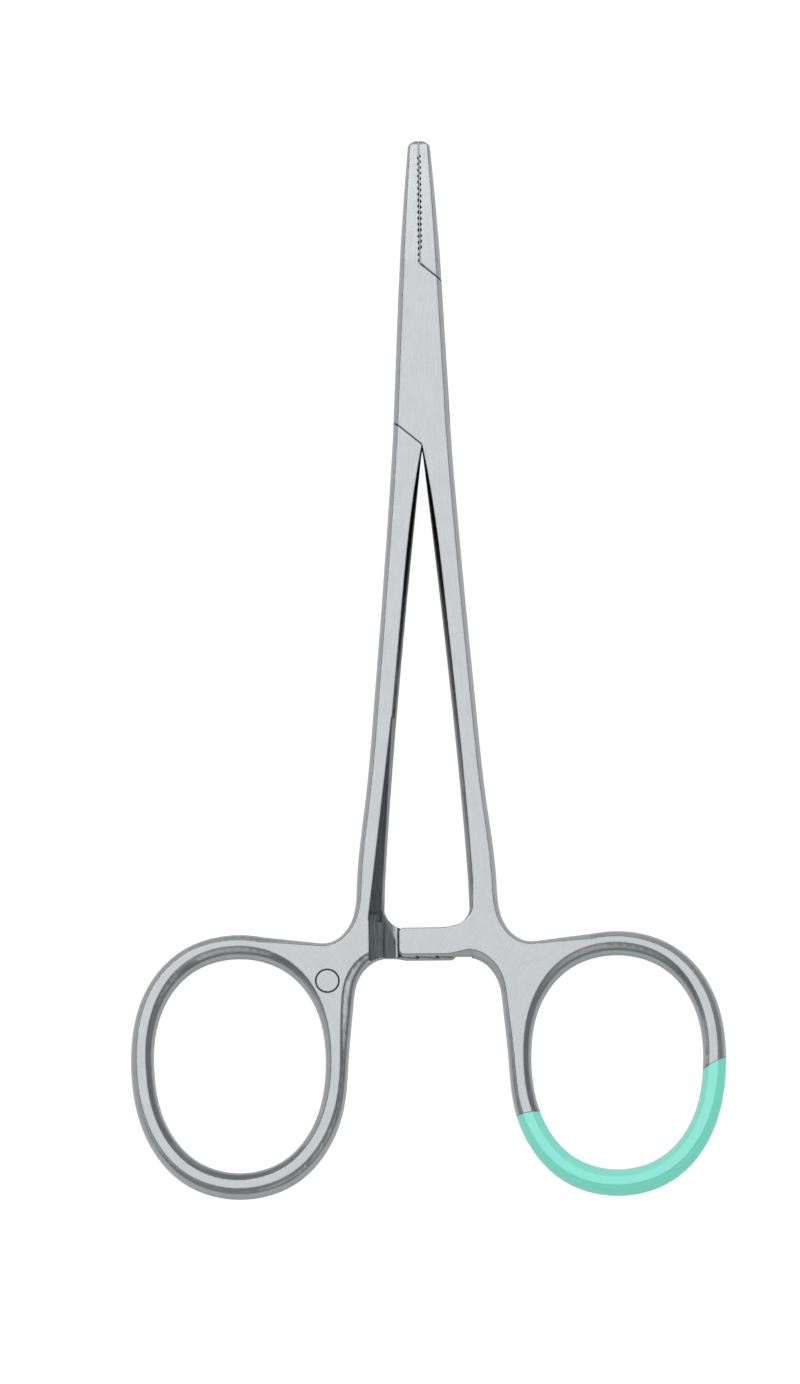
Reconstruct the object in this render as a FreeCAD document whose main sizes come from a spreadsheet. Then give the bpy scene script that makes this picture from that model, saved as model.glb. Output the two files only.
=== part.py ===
"""Straight needle holder: box lock, serrated jaws, ratchet, finger rings and one coated ring.

The instrument lies on its back. X is to the right, Y runs from the pivot to the jaw tips, Z is up.
The origin is on the pivot axis, in the plane of the back faces. Both halves are cut from one forged
blank: the box half as it lies, the tongue half turned over about the long axis.
"""
import FreeCAD
import Part
import Sketcher
import math
import os
from FreeCAD import Placement, Rotation, Vector

# Driving dimensions in millimetres and degrees
SIZES = [
    ("forging_thickness", 4.0, "lock, shanks and rings, back face to front face"),
    ("jaw_reach", 26.5, "pivot axis to the jaw tips"),
    ("jaw_root", 11.5, "pivot axis to where the jaws start to thin"),
    ("jaw_root_half_width", 2.43, "closed jaws, half width at the root"),
    ("jaw_tip_half_width", 1.28, "closed jaws, half width at the tips"),
    ("jaw_tip_thickness", 2.1, "jaws at the tips, back to front"),
    ("jaw_taper_power", 1.15, "how late the jaws narrow, 1 is straight"),
    ("jaw_thinning_power", 1.4, "how late the jaws thin, 1 is straight"),
    ("tip_rounding", 0.65, "length of the rounded tips"),
    ("tip_draw_in", 0.85, "how much the rounding takes off each side of the tips"),
    ("tip_power", 1.4, "fullness of the rounded tips, 2 is an ellipse"),
    ("serration_start", 24.5, "pivot axis to where the grooves start behind the tips"),
    ("left_land", 0.02, "left jaw, from its shoulder to its last groove"),
    ("right_land", 1.7, "right jaw, from its shoulder to its last groove"),
    ("left_groove_pitch", 0.757, "left jaw, groove to groove"),
    ("right_groove_pitch", 0.715, "right jaw, groove to groove"),
    ("groove_width", 0.5, "grooves of the jaw faces, at their mouths"),
    ("groove_depth", 0.2, "grooves of the jaw faces"),
    ("tip_groove_depth", 0.1, "grooves behind the tips"),
    ("groove_run_in", 6.0, "length over which the grooves deepen"),
    ("jaw_gap", 0.05, "between the closed jaw faces"),
    ("shoulder_angle", 40.0, "slope of the lock shoulders"),
    ("shoulder_reach", 11.0, "pivot axis to the upper shoulders, on the centre line"),
    ("shoulder_ease", 0.06, "eased corner from jaw face to shoulder"),
    ("crotch_reach", 11.4, "pivot axis to the crotch"),
    ("crotch_half_width", 3.57, "lock, half width at the crotch"),
    ("shoulder_gap", 0.06, "between the two halves at the shoulders"),
    ("box_wall", 1.2, "front and back wall of the box"),
    ("tongue_clearance", 0.03, "tongue to each box wall"),
    ("pin_diameter", 2.2, "lock pin, and its seats in the box walls"),
    ("pin_clearance", 0.03, "running clearance of the tongue round the pin"),
    ("bevel_width", 0.52, "bevel of the lock and shanks, seen from the front"),
    ("arch_back_bevel", 1.4, "bevel beside the arch on the back face, at its widest"),
    ("ring_bevel_side", 0.78, "outer bevel of the rings at their sides"),
    ("ring_bevel_end", 0.85, "outer bevel of the rings at their top and bottom"),
    ("hole_bevel_side", 0.78, "bevel of the finger holes at their sides"),
    ("hole_bevel_end", 1.1, "bevel of the finger holes at their top and bottom"),
    ("front_flat_shift", -0.13, "flat of the ring off the ring middle, outwards, front face"),
    ("back_flat_shift", 0.17, "flat of the ring off the ring middle, outwards, back face"),
    ("bevel_depth", 1.35, "how far the bevels reach down the sides"),
    ("bevel_run_in", 3.0, "length over which the inner bevels start below the crotch"),
    ("waist_reach", 46.0, "pivot axis to the thinnest place of the shanks"),
    ("waist_width", 2.82, "shank width at the waist"),
    ("foot_above_ring", 21.65, "ring middle to the foot of the shank, along"),
    ("foot_width", 3.36, "shank width at the foot"),
    ("foot_offset", 6.7, "centre line to the middle of the shank at its foot"),
    ("web_corner_across", 4.5, "hollow corner from shank to ring, across"),
    ("web_corner_along", 7.45, "hollow corner from shank to ring, along"),
    ("arch_inset", 0.63, "side of the arch below the ratchet, inside the outer side of the ring"),
    ("arch_across", 4.1, "arch below the ratchet, from its side to its crown"),
    ("arch_along", 5.7, "arch below the ratchet, side height"),
    ("bar_above_ring", 14.13, "ring middle to the middle of the ratchet bar, along"),
    ("bar_height", 3.26, "ratchet bars, along the instrument"),
    ("bar_overlap", 3.4, "how far each bar reaches past the centre line"),
    ("bar_root", 1.6, "how far each bar is rooted in its shank"),
    ("bar_corner_across", 0.8, "rounded corners of the bar ends, across"),
    ("bar_corner_along", 0.45, "rounded corners of the bar ends, along"),
    ("bar_fillet_across", 3.9, "hollow corner between bar and shank, across"),
    ("bar_fillet_along", 3.2, "hollow corner between bar and shank, along"),
    ("bar_fillet_bite", 0.05, "how far that corner runs into the shank"),
    ("bar_blend_across", 2.4, "run of the lower bar edge up to the crown of the arch"),
    ("bar_clearance", 0.03, "each bar to the plane between them"),
    ("tooth_pitch", 2.4, "ratchet teeth"),
    ("tooth_depth", 0.8, "ratchet teeth"),
    ("tooth_land", 0.15, "flat tip of each ratchet tooth"),
    ("first_tooth", 2.0, "end of each bar to its first full notch"),
    ("notch_count", 2, "full notches of each bar, besides the lead-in at its end"),
    ("recess_side", 7.0, "centre line to the side of the ratchet recess"),
    ("recess_above_bar", 2.0, "upper end of the recess over the bar, along"),
    ("recess_below_bar", 0.5, "lower end of the recess below the bar, along"),
    ("recess_floor_rise", 1.0, "slope of the recess floor from its side to the bar end"),
    ("relief_start", 45.0, "pivot axis to where the shank relief starts"),
    ("relief_start_offset", 4.05, "centre line to the start of the relief"),
    ("relief_angle", 50.0, "slope of the shank relief"),
    ("ring_reach", 86.65, "pivot axis to the middle of the finger rings"),
    ("ring_offset", 22.68, "centre line to the middle of the finger rings"),
    ("hole_half_width", 10.36, "finger hole"),
    ("hole_top", 12.6, "ring middle to the top of the finger hole"),
    ("hole_bottom", 13.8, "ring middle to the bottom of the finger hole"),
    ("ring_wall_side", 2.69, "finger ring at its sides"),
    ("ring_wall_top", 2.7, "finger ring at its top"),
    ("ring_wall_bottom", 3.0, "finger ring at its bottom"),
    ("oval_power", 2.2, "fullness of the ring ovals, 2 is an ellipse"),
    ("corner_power", 2.4, "fullness of the hollow corners"),
    ("coat_thickness", 0.1, "coloured coat of the right ring"),
    ("coat_left_angle", 215.5, "direction from the ring middle to the left end of the coat"),
    ("coat_left_slope", 10.4, "slope of the left end of the coat"),
    ("coat_right_angle", -5.3, "direction from the ring middle to the right end of the coat"),
    ("coat_right_slope", 28.9, "slope of the right end of the coat"),
]

doc = FreeCAD.newDocument("needle_holder")
sheet = doc.addObject("Spreadsheet::Sheet", "sizes")
for row, (alias, number, note) in enumerate(SIZES, start=1):
    sheet.set("A%d" % row, alias)
    sheet.set("B%d" % row, str(number))
    sheet.set("C%d" % row, note)
    sheet.setAlias("B%d" % row, alias)
doc.recompute()


def size(alias):
    return float(sheet.get(alias))


THICK = size("forging_thickness")
MIDDLE = THICK / 2
CROTCH = -size("crotch_reach")
RING_MIDDLE = (size("ring_offset"), -size("ring_reach"))
RING_ACROSS = size("hole_half_width") + size("ring_wall_side")
RING_UP = size("hole_top") + size("ring_wall_top")
RING_DOWN = size("hole_bottom") + size("ring_wall_bottom")
FOOT = RING_MIDDLE[1] + size("foot_above_ring")
BAR_TOP = RING_MIDDLE[1] + size("bar_above_ring") + size("bar_height") / 2
BAR_BOTTOM = BAR_TOP - size("bar_height")
ARCH_SIDE = RING_MIDDLE[0] - RING_ACROSS - size("arch_inset")
ARCH_MIDDLE = (ARCH_SIDE - size("arch_across"), BAR_BOTTOM - size("arch_along"))

# How far the cutting tools pass the faces that they cut, and a length past every edge
MARGIN = 1.0
BEYOND = 2 * (size("ring_reach") + size("ring_offset"))

# Shares of the bevel depth, and directions in degrees, at which the outline splines are pinned
BEVEL_STEPS = (0.0, 0.3, 0.65, 1.0)
OVAL_ANGLES = range(0, 360, 20)
RING_ANGLES = range(100, -181, -20)
WEB_CORNER_ANGLES = (200, 225, 250, 270)
ARCH_ANGLES = (0, 25, 50, 70, 84)
BAR_FILLET_ANGLES = (-90, -68, -46, -24, 0)
JAW_STEPS = (0.0, 0.25, 0.5, 0.75, 1.0)
TIP_STEPS = (0.0, 0.45, 0.75, 0.93, 0.995)


# Document objects

def add_shape(name, shape):
    feature = doc.addObject("Part::Feature", name)
    feature.Shape = shape
    return feature


def add_cut(name, base, tool):
    cut = doc.addObject("Part::Cut", name)
    cut.Base = base
    cut.Tool = tool
    cut.Refine = False
    return cut


def add_fuse(name, *features):
    fuse = doc.addObject("Part::MultiFuse", name)
    fuse.Shapes = list(features)
    fuse.Refine = True
    return fuse


def add_prism(name, corners, direction, length, bottom="0"):
    """Prism over a closed outline of straight edges. Its length and height are bound to the sheet."""
    outline = add_shape(name + "_outline", Part.Face(Part.makePolygon(corners + corners[:1])))
    solid = doc.addObject("Part::Extrusion", name)
    solid.Base = outline
    solid.DirMode = "Custom"
    solid.Dir = direction
    solid.Solid = True
    solid.setExpression("LengthFwd", length)
    solid.setExpression("Placement.Base.z", bottom)
    return solid


def add_drill(name, diameter):
    """Cylinder on the pivot axis, through both faces of the instrument."""
    drill = doc.addObject("Part::Cylinder", name)
    drill.setExpression("Radius", "(%s) / 2" % diameter)
    drill.setExpression("Height", "sizes.forging_thickness + 2 * %g" % MARGIN)
    drill.setExpression("Placement.Base.z", "-%g" % MARGIN)
    return drill


# Curves

def spline(points):
    curve = Part.BSplineCurve()
    curve.interpolate(Points=points)
    return curve.toShape()


def line(start, end):
    return Part.LineSegment(start, end).toShape()


def oval_point(middle, across, up, down, power, angle, z):
    """Point of an oval whose upper and lower halves have their own heights."""
    cosine = math.cos(math.radians(angle))
    sine = math.sin(math.radians(angle))
    x = math.copysign(abs(cosine) ** (2 / power), cosine) * across
    y = math.copysign(abs(sine) ** (2 / power), sine) * (up if sine > 0 else down)
    return Vector(middle[0] + x, middle[1] + y, z)


def level_middle(height, share):
    """Middle of the right ring at one height. The flats are ground a little off the ring middle."""
    shift = size("front_flat_shift") if height > 0 else size("back_flat_shift")
    return RING_MIDDLE[0] + share * shift, RING_MIDDLE[1]


def ring_oval(middle, across, up, down, z):
    curve = Part.BSplineCurve()
    curve.interpolate(Points=[oval_point(middle, across, up, down, size("oval_power"), angle, z)
                              for angle in OVAL_ANGLES], PeriodicFlag=True)
    return Part.Wire([curve.toShape()])


def bevel_levels(thickness, depth):
    """Heights over the mid-plane, each with the share of the bevel width that is cut there.

    The share falls as a parabola, so the bevel starts with an edge and runs out into the side.
    """
    levels = [(thickness / 2 - step * depth, (1 - step) ** 2) for step in BEVEL_STEPS]
    return levels + [(-height, share) for height, share in reversed(levels)]


# Outline of the lock and of one shank, on the right-hand side

def lock_edge(y):
    """Half width of the lock, from the jaw root to the crotch."""
    along = (size("jaw_root") - y) / (size("jaw_root") - CROTCH)
    gain = size("crotch_half_width") - size("jaw_root_half_width")
    return size("jaw_root_half_width") + gain * along


def shank_middle(y):
    along = (CROTCH - y) / (CROTCH - FOOT)
    start = size("crotch_half_width") / 2
    return start + (size("foot_offset") - start) * along


def shank_width(y):
    """The shank is thinnest at its waist and swells towards the lock and towards its foot."""
    waist = -size("waist_reach")
    if y > waist:
        share = (y - waist) / (CROTCH - waist)
        swell = size("crotch_half_width") - size("waist_width")
    else:
        share = (y - waist) / (FOOT - waist)
        swell = size("foot_width") - size("waist_width")
    return size("waist_width") + swell * share ** 2


def outer_edge(y):
    if y > CROTCH:
        return lock_edge(y)
    return shank_middle(y) + shank_width(y) / 2


def inner_edge(y):
    return shank_middle(y) - shank_width(y) / 2


def arch_point(angle, cut, z):
    return oval_point(ARCH_MIDDLE, size("arch_across") + cut, size("arch_along") + cut,
                      size("arch_along") + cut, 2.0, angle, z)


def web_inner_edge(y, cut, z):
    """Inner side below the foot: a straight line from the shank to the crown of the arch."""
    crown = arch_point(ARCH_ANGLES[-1], cut, z)
    top = inner_edge(FOOT) + cut
    return top + (crown.x - top) * (FOOT - y) / (FOOT - crown.y)


# Forged blank of one half

def limb_contour(height, share):
    """Closed contour of lock, right shank, web and right ring at one height over the mid-plane."""
    z = MIDDLE + height
    cut = share * size("bevel_width")
    wide_cut = cut if height > 0 else share * size("arch_back_bevel")
    side_cut = share * size("ring_bevel_side")
    end_cut = share * size("ring_bevel_end")

    shank_stations = [CROTCH + (FOOT - CROTCH) * step / 5 for step in range(6)]
    outer = [Vector(outer_edge(y) - cut, y, z) for y in [size("jaw_root"), 0.0] + shank_stations]
    across = size("web_corner_across") + cut
    along = size("web_corner_along") + cut
    corner_middle = (outer_edge(FOOT) + size("web_corner_across"), FOOT)
    outer += [oval_point(corner_middle, across, along, along, size("corner_power"), angle, z)
              for angle in WEB_CORNER_ANGLES]

    ring = [oval_point(level_middle(height, share), RING_ACROSS - side_cut, RING_UP - end_cut,
                       RING_DOWN - end_cut, size("oval_power"), angle, z)
            for angle in RING_ANGLES]
    ring += [arch_point(angle, cut + (wide_cut - cut) * math.cos(math.radians(angle)), z)
             for angle in ARCH_ANGLES]

    inner = [Vector(inner_edge(y) + cut * min(1.0, (CROTCH - y) / size("bevel_run_in")), y, z)
             for y in reversed(shank_stations)]
    left = [Vector(-lock_edge(y) + cut, y, z) for y in (CROTCH - MARGIN, 0.0, size("jaw_root"))]
    edges = [
        spline(outer),
        line(outer[-1], ring[0]),
        spline(ring),
        line(ring[-1], inner[0]),
        spline(inner),
        line(inner[-1], left[0]),
        spline(left),
        line(left[-1], outer[0]),
    ]
    return Part.Wire(edges)


def jaw_section(y):
    """Section of the two closed jaws across the instrument."""
    along = (y - size("jaw_root")) / (size("jaw_reach") - size("jaw_root"))
    root_half_width = size("jaw_root_half_width")
    narrowing = (root_half_width - size("jaw_tip_half_width")) * along ** size("jaw_taper_power")
    thinning = (MIDDLE - size("jaw_tip_thickness") / 2) * along ** size("jaw_thinning_power")
    half_width = root_half_width - narrowing
    half_thick = MIDDLE - thinning
    into_tip = (y - size("jaw_reach")) / size("tip_rounding") + 1
    if into_tip > 0:
        power = size("tip_power")
        half_width -= size("tip_draw_in") * (1 - (1 - into_tip ** power) ** (1 / power))
        half_thick -= size("tip_rounding") * (1 - math.sqrt(1 - into_tip ** 2))
    scale = half_thick / MIDDLE
    side = [Vector(half_width - share * size("bevel_width") * scale, y, MIDDLE + height)
            for height, share in bevel_levels(2 * half_thick, size("bevel_depth") * scale)]
    mirrored = [Vector(-point.x, y, point.z) for point in reversed(side)]
    return Part.Wire([spline(side), line(side[-1], mirrored[0]),
                      spline(mirrored), line(mirrored[-1], side[0])])


def limb_shape():
    """The whole lock, the right shank and the right ring, without the finger hole."""
    levels = bevel_levels(THICK, size("bevel_depth"))
    return Part.makeLoft([limb_contour(height, share) for height, share in levels], True)


def jaw_loft(start, end, steps):
    """Both closed jaws between two places along the instrument."""
    return Part.makeLoft([jaw_section(start + (end - start) * step) for step in steps], True)


def finger_hole_shape(inset):
    """Tool for the finger hole, bevelled on both faces, with every surface grown by the inset."""
    wires = []
    for height, share in bevel_levels(THICK - 2 * inset, size("bevel_depth")):
        side_grow = share * size("hole_bevel_side") + inset
        end_grow = share * size("hole_bevel_end") + inset
        wires.append(ring_oval(level_middle(height, share), size("hole_half_width") + side_grow,
                               size("hole_top") + end_grow, size("hole_bottom") + end_grow,
                               MIDDLE + height))
    return Part.makeLoft(wires, True)


def ring_core_shape(inset):
    """The oval ring by itself, with every surface set in by the inset."""
    wires = []
    for height, share in bevel_levels(THICK - 2 * inset, size("bevel_depth")):
        side_cut = share * size("ring_bevel_side") + inset
        end_cut = share * size("ring_bevel_end") + inset
        wires.append(ring_oval(level_middle(height, share), RING_ACROSS - side_cut,
                               RING_UP - end_cut, RING_DOWN - end_cut, MIDDLE + height))
    return Part.makeLoft(wires, True).cut(finger_hole_shape(inset))


def bar_contour(z, cut):
    """Closed contour of the ratchet bar. The bevel of the shank runs out along its two edges."""
    end = -size("bar_overlap")
    corner_x = end + size("bar_corner_across")
    corner_y = size("bar_corner_along")
    fillet_along = size("bar_fillet_along")
    wall = web_inner_edge(BAR_TOP + fillet_along, cut, z)
    fillet_start = inner_edge(FOOT) - size("bar_fillet_across")
    fillet_across = wall + size("bar_fillet_bite") - fillet_start
    fillet_middle = (fillet_start, BAR_TOP + fillet_along)
    root = inner_edge(FOOT) + size("bar_root")
    crown = ARCH_MIDDLE[0]

    def at(x, y):
        return Vector(x, y, z)

    def corner(middle_y, angles):
        return spline([oval_point((corner_x, middle_y), size("bar_corner_across"), corner_y,
                                  corner_y, 2.0, angle, z) for angle in angles])

    fillet = [oval_point(fillet_middle, fillet_across, fillet_along, fillet_along,
                         size("corner_power"), angle, z) for angle in BAR_FILLET_ANGLES]
    edges = [
        line(at(root, BAR_BOTTOM + cut), at(crown, BAR_BOTTOM + cut)),
        line(at(crown, BAR_BOTTOM + cut), at(crown - size("bar_blend_across"), BAR_BOTTOM)),
        line(at(crown - size("bar_blend_across"), BAR_BOTTOM), at(corner_x, BAR_BOTTOM)),
        corner(BAR_BOTTOM + corner_y, (270, 225, 180)),
        line(at(end, BAR_BOTTOM + corner_y), at(end, BAR_TOP - corner_y)),
        corner(BAR_TOP - corner_y, (180, 135, 90)),
        line(at(corner_x, BAR_TOP), fillet[0]),
        spline(fillet),
        line(fillet[-1], at(root, fillet[-1].y)),
        line(at(root, fillet[-1].y), at(root, BAR_BOTTOM + cut)),
    ]
    return Part.Wire(edges)


def ratchet_bar_shape():
    """Front bar of the right shank, without its teeth."""
    levels = [(MIDDLE + size("bar_clearance"), 0.0)]
    for step in reversed(BEVEL_STEPS):
        levels.append((THICK - step * size("bevel_depth"), size("bevel_width") * (1 - step) ** 2))
    return Part.makeLoft([bar_contour(z, cut) for z, cut in levels], True)


# Cutting tools of the lock

SLOPE = math.tan(math.radians(size("shoulder_angle")))
HALF_GAP = size("shoulder_gap") / 2 / math.cos(math.radians(size("shoulder_angle")))
SIDE = 4 * size("crotch_half_width")
PAST_TIP = size("jaw_reach") + MARGIN


def upper_shoulder(x):
    return size("shoulder_reach") - abs(x) * SLOPE


def lower_shoulder(x):
    return CROTCH + abs(x) * SLOPE


def jaw_line(land, pitch):
    """Edge of the left jaw face from past the tip to the shoulder, with its V grooves."""
    face = -size("jaw_gap") / 2
    half_width = size("groove_width") / 2
    last_groove = size("shoulder_reach") + size("shoulder_ease") + land + half_width
    deepening = size("groove_depth") - size("tip_groove_depth")
    points = [(face, PAST_TIP)]
    for groove in reversed(range(int((size("serration_start") - last_groove) / pitch) + 1)):
        y = last_groove + groove * pitch
        run = min(1.0, (size("serration_start") - y) / size("groove_run_in"))
        depth = size("tip_groove_depth") + deepening * run
        points += [(face, y + half_width), (face - depth, y), (face, y - half_width)]
    return points


def flat_corners(points):
    return [Vector(x, y, 0) for x, y in points]


def other_jaw(name, land, pitch, **height):
    """Tool that takes the right jaw off the blank, down to the shoulder of the box."""
    points = jaw_line(land, pitch)
    face = points[-1][0]
    ease = size("shoulder_ease")
    points += [(face, upper_shoulder(0) - HALF_GAP + ease),
               (ease, upper_shoulder(ease) - HALF_GAP),
               (SIDE, upper_shoulder(SIDE) - HALF_GAP),
               (SIDE, PAST_TIP)]
    return add_prism(name, flat_corners(points), Vector(0, 0, 1), **height)


def other_shank(name, **height):
    """Tool that takes the lower left corner off the blank, up to the shoulder of the box."""
    points = [(0, lower_shoulder(0) + HALF_GAP), (-SIDE, lower_shoulder(SIDE) + HALF_GAP),
              (-SIDE, CROTCH - SIDE), (0, CROTCH - SIDE)]
    return add_prism(name, flat_corners(points), Vector(0, 0, 1), **height)


def other_layer(name, land, pitch, **height):
    """Tool that opens a layer of the lock for the other half, between its two shoulders."""
    points = jaw_line(land, pitch)
    face = points[-1][0]
    points += [(face, upper_shoulder(0) + HALF_GAP), (-SIDE, upper_shoulder(SIDE) + HALF_GAP),
               (-SIDE, CROTCH - SIDE), (0, CROTCH - SIDE),
               (0, lower_shoulder(0) - HALF_GAP), (SIDE, lower_shoulder(SIDE) - HALF_GAP),
               (SIDE, PAST_TIP)]
    return add_prism(name, flat_corners(points), Vector(0, 0, 1), **height)


FULL_HEIGHT = {"bottom": "-%g" % MARGIN, "length": "sizes.forging_thickness + 2 * %g" % MARGIN}

# The blank, with its ratchet bar in front and its recess behind

tip_start = size("jaw_reach") - size("tip_rounding")
forging = add_fuse("forging",
                   add_shape("limb", limb_shape()),
                   add_shape("jaws", jaw_loft(size("jaw_root"), tip_start, JAW_STEPS)),
                   add_shape("tips", jaw_loft(tip_start, size("jaw_reach"), TIP_STEPS)))
ring_blank = add_cut("ring_blank", forging, add_shape("finger_hole", finger_hole_shape(0)))

recess_low = BAR_BOTTOM - size("recess_below_bar")
recess_high = BAR_TOP + size("recess_above_bar")
bar_end = -size("bar_overlap")
recess_side = size("recess_side")
recess = add_prism(
    "ratchet_recess",
    [Vector(bar_end, recess_low, MIDDLE), Vector(-bar_end, recess_low, MIDDLE),
     Vector(recess_side, recess_low, MIDDLE - size("recess_floor_rise")),
     Vector(recess_side, recess_low, -MARGIN), Vector(bar_end, recess_low, -MARGIN)],
    Vector(0, 1, 0), "sizes.bar_height + sizes.recess_below_bar + sizes.recess_above_bar")

relief_start = Vector(size("relief_start_offset"), -size("relief_start"), 0)
relief_run = MIDDLE / math.tan(math.radians(size("relief_angle")))
relief_corners = [relief_start + Vector(-relief_run, 0, MIDDLE),
                  relief_start + Vector(-recess_side, 0, MIDDLE),
                  relief_start + Vector(-recess_side, 0, -MARGIN),
                  relief_start + Vector(relief_run * MARGIN / MIDDLE, 0, -MARGIN)]
relief_face = Part.Face(Part.makePolygon(relief_corners + relief_corners[:1]))
relief_way = Vector(recess_side, recess_high, 0) - relief_start
relief = add_shape("shank_relief", relief_face.extrude(relief_way * (1 + MARGIN / relief_way.Length)))
recessed = add_cut("recessed_blank", ring_blank, recess)
doc.recompute()
relieved = add_shape("relieved_blank", recessed.Shape.cut(relief.Shape))

notches = []
for number in range(-1, int(size("notch_count"))):
    notch = doc.addObject("Part::Wedge", "ratchet_notch")
    notch.X2min = 0
    notch.X2max = 0
    notch.Z2min = 0
    notch.Placement = Placement(Vector(), Rotation(Vector(1, 0, 0), 90))
    notch.setExpression("Xmax", "sizes.tooth_pitch - sizes.tooth_land")
    notch.setExpression("Ymax", "sizes.tooth_depth")
    for side in ("Zmax", "Z2max"):
        notch.setExpression(side, "sizes.bar_height + 2 * %g" % MARGIN)
    notch.setExpression("Placement.Base.x", "sizes.first_tooth - sizes.bar_overlap"
                                            " + %d * sizes.tooth_pitch" % number)
    notch.setExpression("Placement.Base.y", "-sizes.ring_reach + sizes.bar_above_ring"
                                            " + sizes.bar_height / 2 + %g" % MARGIN)
    notch.setExpression("Placement.Base.z", "sizes.forging_thickness / 2 + sizes.bar_clearance")
    notches.append(notch)
toothed_bar = add_cut("toothed_bar", add_shape("ratchet_bar", ratchet_bar_shape()),
                      add_fuse("ratchet_notches", *notches))
half_blank = add_fuse("half_blank", relieved, toothed_bar)

# Coat of the right ring: the outer layer of the ring between its two sloping ends

coat_corners = []
coat_reach = size("hole_half_width") + size("ring_wall_side") / 2
for angle, slope in ((size("coat_left_angle"), size("coat_left_slope")),
                     (size("coat_right_angle"), size("coat_right_slope"))):
    x = RING_MIDDLE[0] + coat_reach * math.cos(math.radians(angle))
    y = RING_MIDDLE[1] + coat_reach * math.sin(math.radians(angle))
    run = size("ring_wall_side")
    rise = run * math.tan(math.radians(slope))
    coat_corners += [(x - run, y - rise), (x + run, y + rise)]
coat_corners += [(RING_MIDDLE[0] + BEYOND, -BEYOND), (coat_corners[0][0], -BEYOND)]
coat_zone = add_prism("coat_zone", flat_corners(coat_corners), Vector(0, 0, 1), **FULL_HEIGHT)
coated_part = doc.addObject("Part::Common", "coated_part")
coated_part.Base = half_blank
coated_part.Tool = coat_zone
ring_core = add_shape("ring_core", ring_core_shape(size("coat_thickness")))
ring_coating = add_cut("ring_coating", coated_part, ring_core)

# Box half: the other jaw and shank taken off, the slot for the tongue, the pin seats, the coat's seat

left_grooves = (size("left_land"), size("left_groove_pitch"))
box = add_cut("box_jaw", half_blank, other_jaw("right_jaw_space", *left_grooves, **FULL_HEIGHT))
box = add_cut("box_shank", box, other_shank("left_shank_space", **FULL_HEIGHT))
slot = other_layer("tongue_slot", *left_grooves, bottom="sizes.box_wall",
                   length="sizes.forging_thickness - 2 * sizes.box_wall")
box = add_cut("box_slot", box, slot)
box = add_cut("box_pin_seats", box, add_drill("pin_seats", "sizes.pin_diameter"))
box_half = add_cut("box_half", box, ring_coating)

# Tongue half: cut from the same blank, with the tongue left standing in the middle, then turned over

right_grooves = (size("right_land"), size("right_groove_pitch"))
tongue = add_cut("tongue_jaw", half_blank, other_jaw("left_jaw_space", *right_grooves, **FULL_HEIGHT))
tongue = add_cut("tongue_shank", tongue, other_shank("right_shank_space", **FULL_HEIGHT))
wall_layer = "sizes.box_wall + sizes.tongue_clearance"
for name, bottom in (("back_wall_space", "-%g" % MARGIN),
                     ("front_wall_space", "sizes.forging_thickness - (%s)" % wall_layer)):
    wall_space = other_layer(name, *right_grooves, bottom=bottom,
                             length="%s + %g" % (wall_layer, MARGIN))
    tongue = add_cut("tongue_" + name, tongue, wall_space)
bore = add_drill("tongue_bore", "sizes.pin_diameter + 2 * sizes.pin_clearance")
tongue_half = add_cut("tongue_half", tongue, bore)
tongue_half.Placement = Placement(Vector(), Rotation(Vector(0, 1, 0), 180))
tongue_half.setExpression("Placement.Base.z", "sizes.forging_thickness")

# Lock pin, pressed into the box walls and ground flush with them

lock_pin = doc.addObject("PartDesign::Body", "lock_pin")
section = lock_pin.newObject("Sketcher::SketchObject", "pin_section")
ground = [plane for plane in lock_pin.Origin.OriginFeatures if plane.Role == "XY_Plane"]
section.AttachmentSupport = [(ground[0], "")]
section.MapMode = "FlatFace"
section.addGeometry(Part.Circle(Vector(), Vector(0, 0, 1), size("pin_diameter") / 2), False)
section.addConstraint(Sketcher.Constraint("Coincident", 0, 3, -1, 1))
diameter = section.addConstraint(Sketcher.Constraint("Diameter", 0, size("pin_diameter")))
section.setExpression("Constraints[%d]" % diameter, "sizes.pin_diameter")
shaft = lock_pin.newObject("PartDesign::Pad", "pin_shaft")
shaft.Profile = section
shaft.setExpression("Length", "sizes.forging_thickness")

doc.recompute()
for feature in doc.Objects:
    if "Invalid" in feature.State or "Error" in feature.State:
        raise RuntimeError("%s can't be made: %s" % (feature.Label, feature.State))
subparts = (box_half, tongue_half, lock_pin, ring_coating)
for subpart in subparts:
    if subpart.Shape.isNull() or not subpart.Shape.isValid():
        raise RuntimeError("%s has no valid shape" % subpart.Label)
os.makedirs("parts", exist_ok=True)
for subpart in subparts:
    subpart.Shape.exportStep("parts/%s.step" % subpart.Label)
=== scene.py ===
import math

import bpy
from mathutils import Matrix, Vector


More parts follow.
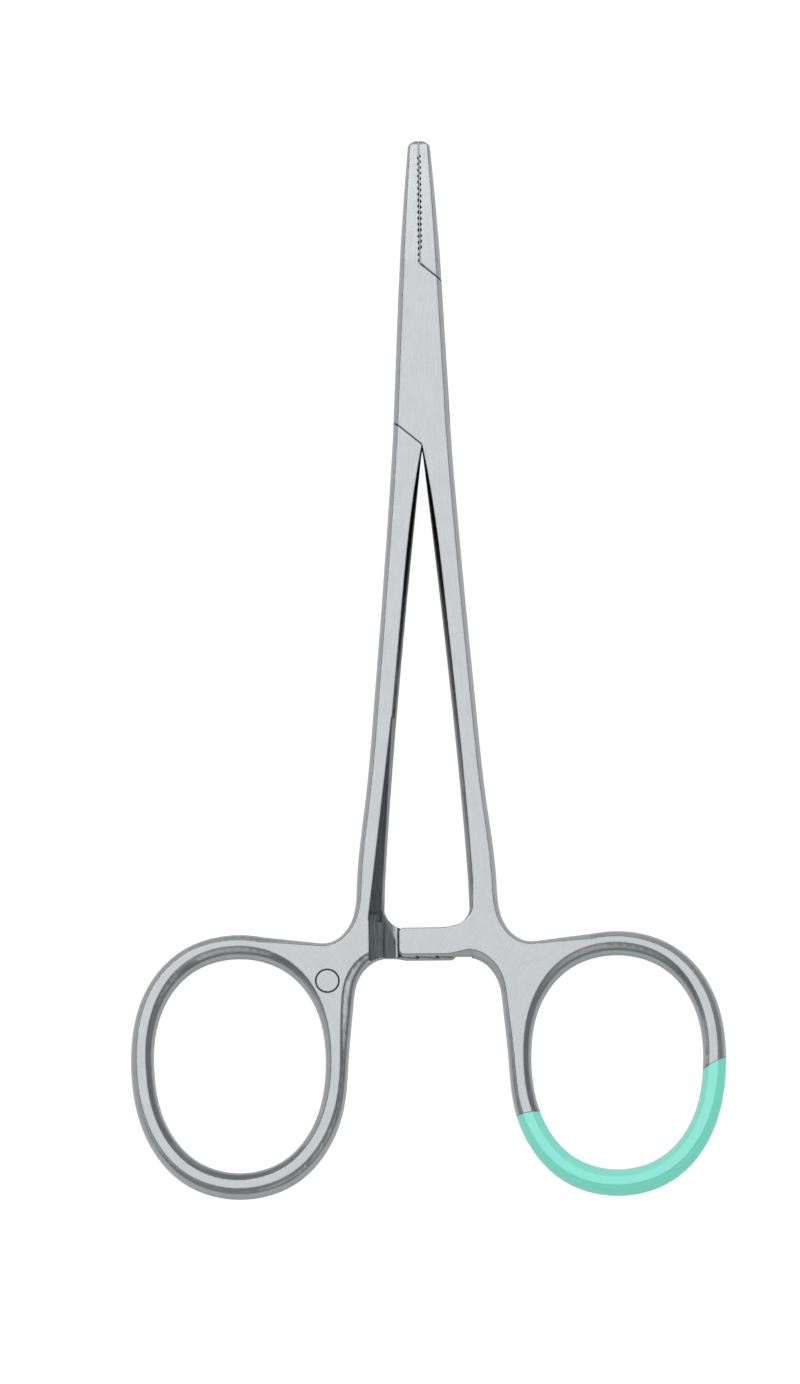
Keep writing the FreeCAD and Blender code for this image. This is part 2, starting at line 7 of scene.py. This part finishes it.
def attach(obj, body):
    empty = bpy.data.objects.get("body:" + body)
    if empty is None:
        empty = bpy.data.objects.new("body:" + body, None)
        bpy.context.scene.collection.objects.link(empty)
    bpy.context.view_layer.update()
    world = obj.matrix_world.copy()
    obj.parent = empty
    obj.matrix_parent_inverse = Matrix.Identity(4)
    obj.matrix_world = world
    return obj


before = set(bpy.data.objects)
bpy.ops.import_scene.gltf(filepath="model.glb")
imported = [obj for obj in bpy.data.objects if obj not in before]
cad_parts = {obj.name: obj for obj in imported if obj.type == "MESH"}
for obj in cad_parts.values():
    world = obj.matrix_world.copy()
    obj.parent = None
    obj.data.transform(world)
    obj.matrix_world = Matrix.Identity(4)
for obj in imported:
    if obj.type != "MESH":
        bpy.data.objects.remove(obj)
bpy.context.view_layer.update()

# ---------------------------------------------------------------------------------------------
# Box half: left jaw, the two box walls, right shank, front ratchet bar and right finger ring.
# One stainless forging, surface-ground along its length on both faces, with satin sides and
# bevels, and a milled recess at its back where the other half's ratchet bar passes.

MM = 0.001
THICKNESS = 4.0 * MM
RING_CENTRE_X = 22.68 * MM
RING_CENTRE_Y = -86.65 * MM

STEEL_FACE_LIT = (0.432, 0.449, 0.459, 1.0)
STEEL_SIDE_SHADED = (0.330, 0.350, 0.358, 1.0)
STEEL_DARK_REFLECTION = (0.060, 0.072, 0.078, 1.0)
STEEL_MILLED_AND_SHADED = (0.055, 0.066, 0.071, 1.0)
STEEL_CORNER_SHADE = (0.110, 0.122, 0.128, 1.0)
STEEL_GAP_SHADE = (0.012, 0.014, 0.015, 1.0)


def add_node(tree, kind, **settings):
    node = tree.nodes.new(kind)
    for name, value in settings.items():
        setattr(node, name, value)
    return node


def plug_in(tree, socket, value):
    if isinstance(value, bpy.types.NodeSocket):
        tree.links.new(value, socket)
    else:
        socket.default_value = value


def calc(tree, operation, first, *others):
    """One operation on the first value alone, or along all the values from left to right."""
    result = first
    for other in others or (0.0,):
        node = add_node(tree, "ShaderNodeMath", operation=operation)
        plug_in(tree, node.inputs[0], result)
        plug_in(tree, node.inputs[1], other)
        result = node.outputs[0]
    return result


def total(tree, *values):
    return calc(tree, "ADD", *values)


def product(tree, *values):
    return calc(tree, "MULTIPLY", *values)


def difference(tree, first, second):
    return calc(tree, "SUBTRACT", first, second)


def distance(tree, across, along):
    return calc(tree, "SQRT", total(tree, product(tree, across, across), product(tree, along, along)))


def line_over(tree, y, start, offset, rise):
    """A straight line over y that is at this offset where y is at the start."""
    return total(tree, product(tree, total(tree, y, -start), rise), offset)


def ramp(tree, value, low, high, at_low=0.0, at_high=1.0):
    node = add_node(tree, "ShaderNodeMapRange", interpolation_type="SMOOTHSTEP")
    for name, given in (("Value", value), ("From Min", low), ("From Max", high),
                        ("To Min", at_low), ("To Max", at_high)):
        plug_in(tree, node.inputs[name], given)
    return node.outputs["Result"]


def falling(tree, value, low, high):
    return ramp(tree, value, low, high, 1.0, 0.0)


def between(tree, value, low, high, soft):
    return product(tree, ramp(tree, value, low - soft, low + soft),
                   falling(tree, value, high - soft, high + soft))


def blend_colour(tree, share, first, second):
    node = add_node(tree, "ShaderNodeMix", data_type="RGBA")
    plug_in(tree, node.inputs["Factor"], share)
    plug_in(tree, node.inputs["A"], first)
    plug_in(tree, node.inputs["B"], second)
    return node.outputs["Result"]


def joined(tree, *values):
    """Three values as one vector."""
    node = add_node(tree, "ShaderNodeCombineXYZ")
    for socket, value in zip(node.inputs, values):
        plug_in(tree, socket, value)
    return node.outputs[0]


def apart(tree, vector):
    """One vector as three values."""
    node = add_node(tree, "ShaderNodeSeparateXYZ")
    tree.links.new(vector, node.inputs[0])
    return node.outputs


def grain(tree, vector, scale, detail, roughness=0.55):
    node = add_node(tree, "ShaderNodeTexNoise")
    node.inputs["Scale"].default_value = scale
    node.inputs["Detail"].default_value = detail
    node.inputs["Roughness"].default_value = roughness
    tree.links.new(vector, node.inputs["Vector"])
    return node.outputs["Fac"]


# Grinding: fineness of the lines across, along and through the steel, in noise cells a metre
SHANK_LINES = (9000.0, 260.0, 7000.0)
RING_LINES = (7000.0, 320.0, 320.0)
SPLAY_START = -11 * MM
SHANK_SPLAY = 0.085
RING_TOP = (-76 * MM, -66 * MM)


def grinding_lines(tree, x, y, z, side):
    """Grinding lines along the jaws and shanks, which turn round the finger ring."""
    splay = product(tree, calc(tree, "MINIMUM", total(tree, y, -SPLAY_START), 0.0), SHANK_SPLAY * side)
    lengthwise = joined(tree, *(product(tree, value, fineness)
                                for value, fineness in zip((total(tree, x, splay), y, z), SHANK_LINES)))
    from_x = total(tree, x, -RING_CENTRE_X * side)
    from_y = total(tree, y, -RING_CENTRE_Y)
    outwards = total(tree, distance(tree, from_x, from_y), z)
    round_ring = joined(tree, *(product(tree, value, fineness)
                                for value, fineness in zip((outwards, from_x, from_y), RING_LINES)))
    long_lines = grain(tree, lengthwise, 1.0, 4.0)
    ring_lines = grain(tree, round_ring, 1.0, 4.0)
    on_ring = falling(tree, y, *RING_TOP)
    return total(tree, long_lines, product(tree, on_ring, difference(tree, ring_lines, long_lines)))


# The milled recess and the relief above it: where they lie, and how deep below the ground face
RECESS_BOTTOM = -74.8 * MM
RECESS_SIDE = 7.0 * MM
RELIEF_START = -45 * MM
RELIEF_OFFSET = 4.05 * MM
RELIEF_SPLAY = -2.95 / 23.89
MILLED_DEPTH = (0.04 * MM, 2.05 * MM)
MILLED_BORDER = (-0.12 * MM, -0.06 * MM)
FACING_THE_BAR = (0.60, 0.635)

# Its plain inner strip, which gets a painted highlight and painted shade down the hollow corner: along
# the shank, down the hollow corner, and next to the other bar
SHANK_STRIP = (-53.7 * MM, 4.51 * MM, -0.067)
CORNER_STRIP = (-72.0 * MM, 3.80 * MM, 0.45)
STRIP_BORDER = 0.04 * MM
CORNER_ACROSS = (3.70 * MM, 4.30 * MM)
CORNER_ALONG = (-70 * MM, -66 * MM)
BAR_SHADOW = (2.0 * MM, 3.60 * MM)


def milled_places(tree, x, y, z, up, side):
    """Masks of all the milled steel, and of its part darkened with painted shade, without the plain
    inner strip.
    """
    sideways = product(tree, x, float(side))
    depth = z if side > 0 else difference(tree, THICKNESS, z)
    relief_edge = line_over(tree, y, RELIEF_START, RELIEF_OFFSET, RELIEF_SPLAY)
    outer_edge = calc(tree, "MINIMUM", relief_edge, RECESS_SIDE)
    corner_strip = calc(tree, "MAXIMUM", line_over(tree, y, *CORNER_STRIP), CORNER_STRIP[1])
    inner_edge = calc(tree, "MINIMUM", line_over(tree, y, *SHANK_STRIP), corner_strip)
    lowered = product(tree, ramp(tree, difference(tree, outer_edge, sideways), *MILLED_BORDER),
                      between(tree, depth, *MILLED_DEPTH, 0.02 * MM),
                      between(tree, y, RECESS_BOTTOM, RELIEF_START, 0.1 * MM),
                      ramp(tree, product(tree, up, -float(side)), *FACING_THE_BAR))
    past_strip = ramp(tree, difference(tree, sideways, inner_edge), -STRIP_BORDER, STRIP_BORDER)
    return lowered, product(tree, lowered, past_strip)


def milled_tone_and_painted_light(tree, colour, x, y, lowered, milled, side):
    """Milled steel, darker from its dull finish and from painted shade; the strip at its inner side
    painted lighter as a painted highlight and darker as painted shade in the hollow corner; and the
    painted shadow at the bar's end.
    """
    sideways = product(tree, x, float(side))
    colour = blend_colour(tree, milled, colour, STEEL_MILLED_AND_SHADED)
    corner = product(tree, ramp(tree, sideways, *CORNER_ACROSS), falling(tree, y, *CORNER_ALONG))
    strip_light_and_shade = blend_colour(tree, corner, STEEL_FACE_LIT, STEEL_CORNER_SHADE)
    colour = blend_colour(tree, difference(tree, lowered, milled), colour, strip_light_and_shade)
    shadow = product(tree, lowered, between(tree, sideways, *BAR_SHADOW, 0.04 * MM))
    return blend_colour(tree, shadow, colour, STEEL_GAP_SHADE)


# The V grooves of the jaw faces: reach of the jaws, last groove and pitch of each half
JAWS = (8.6 * MM, 26.0 * MM)
JAW_FACES = (0.45 * MM, 0.60 * MM)
GROOVES_END = 24.5 * MM
GROOVES = {1: (11.33 * MM, 0.757 * MM), -1: (13.01 * MM, 0.715 * MM)}
GROOVE_SHADE_WIDTH = (0.16 * MM, 0.30 * MM)


def groove_places(tree, x, y, upright, side):
    """Masks of the jaw faces, and of the grooves in them with dots of painted shade at their mouths."""
    off_line = calc(tree, "ABSOLUTE", x)
    meeting = product(tree, between(tree, y, *JAWS, 0.1 * MM), falling(tree, off_line, *JAW_FACES))
    last_groove, pitch = GROOVES[side]
    beat = calc(tree, "COSINE", product(tree, total(tree, y, -last_groove), 2 * math.pi / pitch))
    row = between(tree, y, last_groove - pitch / 2, GROOVES_END, 0.05 * MM)
    groove_shade_dots = product(tree, ramp(tree, beat, 0.0, 0.6), falling(tree, off_line, *GROOVE_SHADE_WIDTH), row)
    steep = falling(tree, upright, 0.30, 0.70)
    return meeting, calc(tree, "MAXIMUM", product(tree, meeting, steep), groove_shade_dots)


# Broken edges: how wide they are rounded, and how far the surface turns over the dark line, which is a
# painted reflection of the dim band round the room
EDGE_BREAK = 0.25 * MM
EDGE_TURN = (0.014, 0.050)
MOUTH_TURN = (0.006, 0.030)
EDGE_REFLECTION_SHARE = 0.88
PIN_RIM = (1.5 * MM, 1.6 * MM)

# The inner bevels, painted almost black with painted shade at the crotch and paler down to the feet of
# the shanks
INNER_BEVELS = (-70 * MM, -11.4 * MM)
FACING_INWARDS = (0.15, 0.40)
CROTCH_SHADE_FADE = (-60 * MM, -14 * MM, 0.30, 0.92)

# Satin finish: tone and roughness, each from the lines, clouds, specks and a base
GROUND_FACE = (0.72, 0.97)
LINE_TONE, CLOUD_TONE, SPECK_TONE, BASE_TONE = 0.12, 0.12, 0.16, 0.80
LINE_ROUGHNESS, FACE_ROUGHNESS, MILLED_ROUGHNESS, BASE_ROUGHNESS = 0.16, -0.06, 0.14, 0.26
CLOUD_SCALE, SPECK_SCALE = 420.0, 5200.0
CUTTER_MARKS = (3200.0, 300.0, 2.2)
MILLED_DULLNESS = 0.95
SPECULAR = 0.5
BUMP_STRENGTH, BUMP_HEIGHT, SPECK_HEIGHT = 0.35, 0.02 * MM, 0.4


def satin_steel(name, side):
    """Ground and satined steel: side 1 is the half with the right ring and the pin, -1 the other."""
    material = bpy.data.materials.new(name)
    material.use_nodes = True
    tree = material.node_tree
    shader = tree.nodes["Principled BSDF"]
    place = add_node(tree, "ShaderNodeTexCoord")
    x, y, z = apart(tree, place.outputs["Object"])
    facing = apart(tree, place.outputs["Normal"])
    upright = calc(tree, "ABSOLUTE", facing[2])

    # The ground faces are painted brighter than the satined sides and bevels: painted shade on the sides
    # and bevels that turn away from the overhead light
    lines = grinding_lines(tree, x, y, z, side)
    clouds = grain(tree, place.outputs["Object"], CLOUD_SCALE, 3.0)
    specks = grain(tree, place.outputs["Object"], SPECK_SCALE, 2.0, 0.7)
    tone = total(tree, product(tree, lines, LINE_TONE), product(tree, clouds, CLOUD_TONE),
                 product(tree, specks, SPECK_TONE), BASE_TONE)
    flat = ramp(tree, upright, *GROUND_FACE)
    colour = blend_colour(tree, flat, STEEL_SIDE_SHADED, STEEL_FACE_LIT)

    # The milled recess and relief carry the streaks of the cutter
    lowered, milled = milled_places(tree, x, y, z, facing[2], side)
    across, along, contrast = CUTTER_MARKS
    streaks = grain(tree, joined(tree, product(tree, x, across), product(tree, y, along), 0.0), 1.0, 3.0)
    marks = product(tree, total(tree, streaks, -0.5), milled, contrast)
    tone = product(tree, tone, total(tree, marks, 1.0))
    # Painted shade darkens the milled steel beyond its dull finish; the inner strip gets a painted
    # highlight and the bar's end a painted shadow
    colour = milled_tone_and_painted_light(tree, colour, x, y, lowered, milled, side)

    # The jaw grooves and the dots at their mouths are painted dark: painted shade inside the grooves
    meeting, grooves = groove_places(tree, x, y, upright, side)
    colour = blend_colour(tree, grooves, colour, STEEL_GAP_SHADE)

    # Broken edges: the thin dark line where a ground face meets its bevel is painted, a painted
    # reflection of the dim band round the room
    rounded = add_node(tree, "ShaderNodeBevel", samples=6)
    rounded.inputs["Radius"].default_value = EDGE_BREAK
    here = add_node(tree, "ShaderNodeNewGeometry")
    agreement = add_node(tree, "ShaderNodeVectorMath", operation="DOT_PRODUCT")
    tree.links.new(rounded.outputs[0], agreement.inputs[0])
    tree.links.new(here.outputs["Normal"], agreement.inputs[1])
    turning = difference(tree, 1.0, agreement.outputs["Value"])
    off_pin = ramp(tree, distance(tree, x, y), *PIN_RIM)
    edge_reflection = product(tree, ramp(tree, turning, *EDGE_TURN), off_pin, difference(tree, 1.0, lowered))
    colour = blend_colour(tree, product(tree, edge_reflection, EDGE_REFLECTION_SHARE), colour, STEEL_DARK_REFLECTION)
    # Painted shade also darkens the jaw faces where they turn into the grooves' mouths
    mouths = product(tree, meeting, ramp(tree, turning, *MOUTH_TURN))
    colour = blend_colour(tree, mouths, colour, STEEL_GAP_SHADE)

    # Towards the crotch the inner bevels face each other, and painted shade keeps them almost black
    inwards = ramp(tree, product(tree, facing[0], -float(side)), *FACING_INWARDS)
    crotch_shade = product(tree, between(tree, y, *INNER_BEVELS, 0.3 * MM), ramp(tree, y, *CROTCH_SHADE_FADE))
    colour = blend_colour(tree, product(tree, inwards, crotch_shade), colour, STEEL_GAP_SHADE)

    shaded = add_node(tree, "ShaderNodeMix", data_type="RGBA", blend_type="MULTIPLY")
    shaded.inputs["Factor"].default_value = 1.0
    tree.links.new(colour, shaded.inputs["A"])
    tree.links.new(joined(tree, tone, tone, tone), shaded.inputs["B"])
    tree.links.new(shaded.outputs["Result"], shader.inputs["Base Color"])

    roughness = total(tree, product(tree, lines, LINE_ROUGHNESS), product(tree, flat, FACE_ROUGHNESS),
                      product(tree, milled, MILLED_ROUGHNESS), BASE_ROUGHNESS)
    tree.links.new(roughness, shader.inputs["Roughness"])
    dull = calc(tree, "MAXIMUM", product(tree, lowered, MILLED_DULLNESS), grooves)
    tree.links.new(difference(tree, 1.0, dull), shader.inputs["Metallic"])
    shine = product(tree, difference(tree, 1.0, grooves), SPECULAR)
    tree.links.new(shine, shader.inputs["Specular IOR Level"])

    # Fine unevenness over the rounded edges; the pin's rim stays as it is cut
    relief = add_node(tree, "ShaderNodeBump")
    relief.inputs["Strength"].default_value = BUMP_STRENGTH
    relief.inputs["Distance"].default_value = BUMP_HEIGHT
    tree.links.new(total(tree, lines, product(tree, specks, SPECK_HEIGHT)), relief.inputs["Height"])
    eased = add_node(tree, "ShaderNodeMix", data_type="VECTOR")
    tree.links.new(off_pin, eased.inputs["Factor"])
    tree.links.new(here.outputs["Normal"], eased.inputs[4])
    tree.links.new(rounded.outputs[0], eased.inputs[5])
    tree.links.new(eased.outputs[1], relief.inputs["Normal"])
    tree.links.new(relief.outputs[0], shader.inputs["Normal"])
    return material


def finish_with(node_name, material):
    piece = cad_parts[node_name]
    for material_slot in piece.material_slots:
        material_slot.material = material


finish_with("box_half", satin_steel("satin_steel_box_half", 1))

# ---------------------------------------------------------------------------------------------
# Tongue half: right jaw, the thin tongue inside the box, left shank, rear ratchet bar and left
# finger ring. The same stainless forging turned over, with its milled recess in front.

finish_with("tongue_half", satin_steel("satin_steel_tongue_half", -1))

MARK_PLACE = Vector((-12.07 * MM, -77.30 * MM, 0.0))
MARK_RADIUS = 1.39 * MM
MARK_LINE = 0.23 * MM
MARK_HEIGHT = 0.005 * MM
MARK_STEPS = 96
LASER_BLACK = (0.010, 0.011, 0.012, 1.0)
LASER_ROUGHNESS = 0.6


def etched_circle():
    """A plain circle, laser-etched in black on the web of the left ring."""
    points = []
    for radius in (MARK_RADIUS - MARK_LINE / 2, MARK_RADIUS + MARK_LINE / 2):
        for step in range(MARK_STEPS):
            turn = 2 * math.pi * step / MARK_STEPS
            points.append(MARK_PLACE + Vector((radius * math.cos(turn), radius * math.sin(turn),
                                               THICKNESS + MARK_HEIGHT)))
    faces = []
    for step in range(MARK_STEPS):
        after = (step + 1) % MARK_STEPS
        faces.append((step, MARK_STEPS + step, MARK_STEPS + after, after))
    mesh = bpy.data.meshes.new("etched_circle")
    mesh.from_pydata(points, [], faces)
    circle = bpy.data.objects.new("etched_circle", mesh)
    bpy.context.scene.collection.objects.link(circle)
    material = bpy.data.materials.new("laser_black")
    material.use_nodes = True
    shader = material.node_tree.nodes["Principled BSDF"]
    shader.inputs["Base Color"].default_value = LASER_BLACK
    shader.inputs["Roughness"].default_value = LASER_ROUGHNESS
    mesh.materials.append(material)
    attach(circle, "tongue_body")


etched_circle()

# ---------------------------------------------------------------------------------------------
# Lock pin: a steel rivet that is pressed into the two box walls and ground flush with them, so
# that only a faint circle shows on the lock.

finish_with("lock_pin", satin_steel("satin_steel_lock_pin", 1))

# ---------------------------------------------------------------------------------------------
# Ring coating: a thin turquoise lacquer that is baked on the lower part of the right ring, a
# little glossy, with the faint unevenness of a dipped coat.

LACQUER = (0.205, 0.655, 0.550, 1.0)
LACQUER_SHADED = (0.165, 0.640, 0.515, 1.0)
LACQUER_ROUGHNESS = 0.26
LACQUER_EDGE = 0.25 * MM
OUTER_BEVEL = (0.25, 0.60)
WAVE_SCALE = 650.0
WAVE_SHARE = 0.12
WAVE_STRENGTH, WAVE_HEIGHT = 0.15, 0.03 * MM


def turquoise_lacquer():
    """Lacquer painted a little darker where it turns away from the ring's middle, as painted shade on
    its outer bevel.
    """
    material = bpy.data.materials.new("turquoise_lacquer")
    material.use_nodes = True
    tree = material.node_tree
    shader = tree.nodes["Principled BSDF"]
    place = add_node(tree, "ShaderNodeTexCoord")
    waves = grain(tree, place.outputs["Object"], WAVE_SCALE, 2.0)
    faint_waves = product(tree, waves, WAVE_SHARE)
    from_middle = add_node(tree, "ShaderNodeVectorMath", operation="SUBTRACT")
    tree.links.new(place.outputs["Object"], from_middle.inputs[0])
    from_middle.inputs[1].default_value = (RING_CENTRE_X, RING_CENTRE_Y, THICKNESS / 2)
    outwards = add_node(tree, "ShaderNodeVectorMath", operation="NORMALIZE")
    tree.links.new(from_middle.outputs[0], outwards.inputs[0])
    facing_out = add_node(tree, "ShaderNodeVectorMath", operation="DOT_PRODUCT")
    tree.links.new(outwards.outputs[0], facing_out.inputs[0])
    tree.links.new(place.outputs["Normal"], facing_out.inputs[1])
    on_shaded_bevel = ramp(tree, facing_out.outputs["Value"], *OUTER_BEVEL)
    share = total(tree, on_shaded_bevel, faint_waves, -WAVE_SHARE / 2)
    tree.links.new(blend_colour(tree, share, LACQUER, LACQUER_SHADED), shader.inputs["Base Color"])
    tree.links.new(total(tree, faint_waves, LACQUER_ROUGHNESS), shader.inputs["Roughness"])
    rounded = add_node(tree, "ShaderNodeBevel", samples=4)
    rounded.inputs["Radius"].default_value = LACQUER_EDGE
    relief = add_node(tree, "ShaderNodeBump")
    relief.inputs["Strength"].default_value = WAVE_STRENGTH
    relief.inputs["Distance"].default_value = WAVE_HEIGHT
    tree.links.new(waves, relief.inputs["Height"])
    tree.links.new(rounded.outputs[0], relief.inputs["Normal"])
    tree.links.new(relief.outputs[0], shader.inputs["Normal"])
    return material


finish_with("ring_coating", turquoise_lacquer())

# ---------------------------------------------------------------------------------------------
# Table and light: a plain white table under a wide soft overhead light, with a dim band round
# the room at eye height that gives the steel its darker edges.

TABLE_COLOUR = (0.85, 0.85, 0.85, 1.0)
TABLE_SEEN = (0.15, 0.15, 0.15, 1.0)
TABLE_GLOW = 0.93
TABLE_ROUGHNESS = 0.9
TABLE_SPECULAR = 0.1
TABLE_RADIUS = 1.5
TABLE_STEPS = 96
WHITE = (1.0, 1.0, 1.0, 1.0)


def white_table():
    """A round table top, a little brighter to the camera than it lights the steel."""
    turns = [2 * math.pi * step / TABLE_STEPS for step in range(TABLE_STEPS)]
    corners = [TABLE_RADIUS * Vector((math.cos(turn), math.sin(turn), 0.0)) for turn in turns]
    mesh = bpy.data.meshes.new("table")
    mesh.from_pydata(corners, [], [list(range(TABLE_STEPS))])
    table = bpy.data.objects.new("table", mesh)
    bpy.context.scene.collection.objects.link(table)
    material = bpy.data.materials.new("table_paint")
    material.use_nodes = True
    tree = material.node_tree
    shader = tree.nodes["Principled BSDF"]
    seen = add_node(tree, "ShaderNodeLightPath").outputs["Is Camera Ray"]
    tree.links.new(blend_colour(tree, seen, TABLE_COLOUR, TABLE_SEEN), shader.inputs["Base Color"])
    shader.inputs["Emission Color"].default_value = WHITE
    tree.links.new(product(tree, seen, TABLE_GLOW), shader.inputs["Emission Strength"])
    shader.inputs["Roughness"].default_value = TABLE_ROUGHNESS
    shader.inputs["Specular IOR Level"].default_value = TABLE_SPECULAR
    mesh.materials.append(material)


white_table()

DOME_BRIGHT = 1.28
DOME_DIM = 0.20
DOME_FROM, DOME_FULL = 0.30, 0.62

world = bpy.data.worlds.new("soft_room")
bpy.context.scene.world = world
world.use_nodes = True
room = world.node_tree
direction = add_node(room, "ShaderNodeTexCoord")
height = apart(room, direction.outputs["Generated"])[2]
lamp = room.nodes["Background"]
lamp.inputs["Color"].default_value = WHITE
room.links.new(ramp(room, height, DOME_FROM, DOME_FULL, DOME_DIM, DOME_BRIGHT), lamp.inputs["Strength"])
backdrop = add_node(room, "ShaderNodeBackground")
backdrop.inputs["Color"].default_value = WHITE
seen = add_node(room, "ShaderNodeLightPath")
chooser = add_node(room, "ShaderNodeMixShader")
room.links.new(seen.outputs["Is Camera Ray"], chooser.inputs[0])
room.links.new(lamp.outputs[0], chooser.inputs[1])
room.links.new(backdrop.outputs[0], chooser.inputs[2])
room.links.new(chooser.outputs[0], room.nodes["World Output"].inputs["Surface"])

SOFTBOX_PLACE = (-0.35, 0.45, 0.75)
SOFTBOX_AIM = Vector((0.0, -0.04, 0.0))
SOFTBOX_SIZE = 0.5
SOFTBOX_POWER = 2.2

softbox_data = bpy.data.lights.new("softbox", "AREA")
softbox_data.shape = "DISK"
softbox_data.size = SOFTBOX_SIZE
softbox_data.energy = SOFTBOX_POWER
softbox = bpy.data.objects.new("softbox", softbox_data)
softbox.location = SOFTBOX_PLACE
softbox.rotation_euler = (SOFTBOX_AIM - softbox.location).to_track_quat("-Z", "Y").to_euler()
bpy.context.scene.collection.objects.link(softbox)

bpy.context.scene.view_settings.view_transform = "Standard"

# ---------------------------------------------------------------------------------------------
# Camera: almost straight down on the table, leaning 12 degrees towards the finger rings and
# rolled a little, with a long lens that keeps both shanks free of perspective.

LEAN = math.radians(12.0)
ROLL = math.radians(0.6)
LENS = 800.0
SENSOR = 36.0
FRAME_HEIGHT = 0.16677
NEAR = 0.01
AIM = Vector((-2.97 * MM, -41.49 * MM, 2.0 * MM))

camera_data = bpy.data.cameras.new("camera")
camera_data.lens = LENS
camera_data.sensor_width = SENSOR
camera_data.clip_start = NEAR
camera = bpy.data.objects.new("camera", camera_data)
leaning_up = Vector((0.0, math.cos(LEAN), math.sin(LEAN)))
sideways = Vector((1.0, 0.0, 0.0))
right = math.cos(ROLL) * sideways - math.sin(ROLL) * leaning_up
up = math.sin(ROLL) * sideways + math.cos(ROLL) * leaning_up
back = right.cross(up)
standpoint = Matrix.Translation(AIM + back * FRAME_HEIGHT * LENS / SENSOR)
camera.matrix_world = standpoint @ Matrix((right, up, back)).transposed().to_4x4()
bpy.context.scene.collection.objects.link(camera)
bpy.context.scene.camera = camera
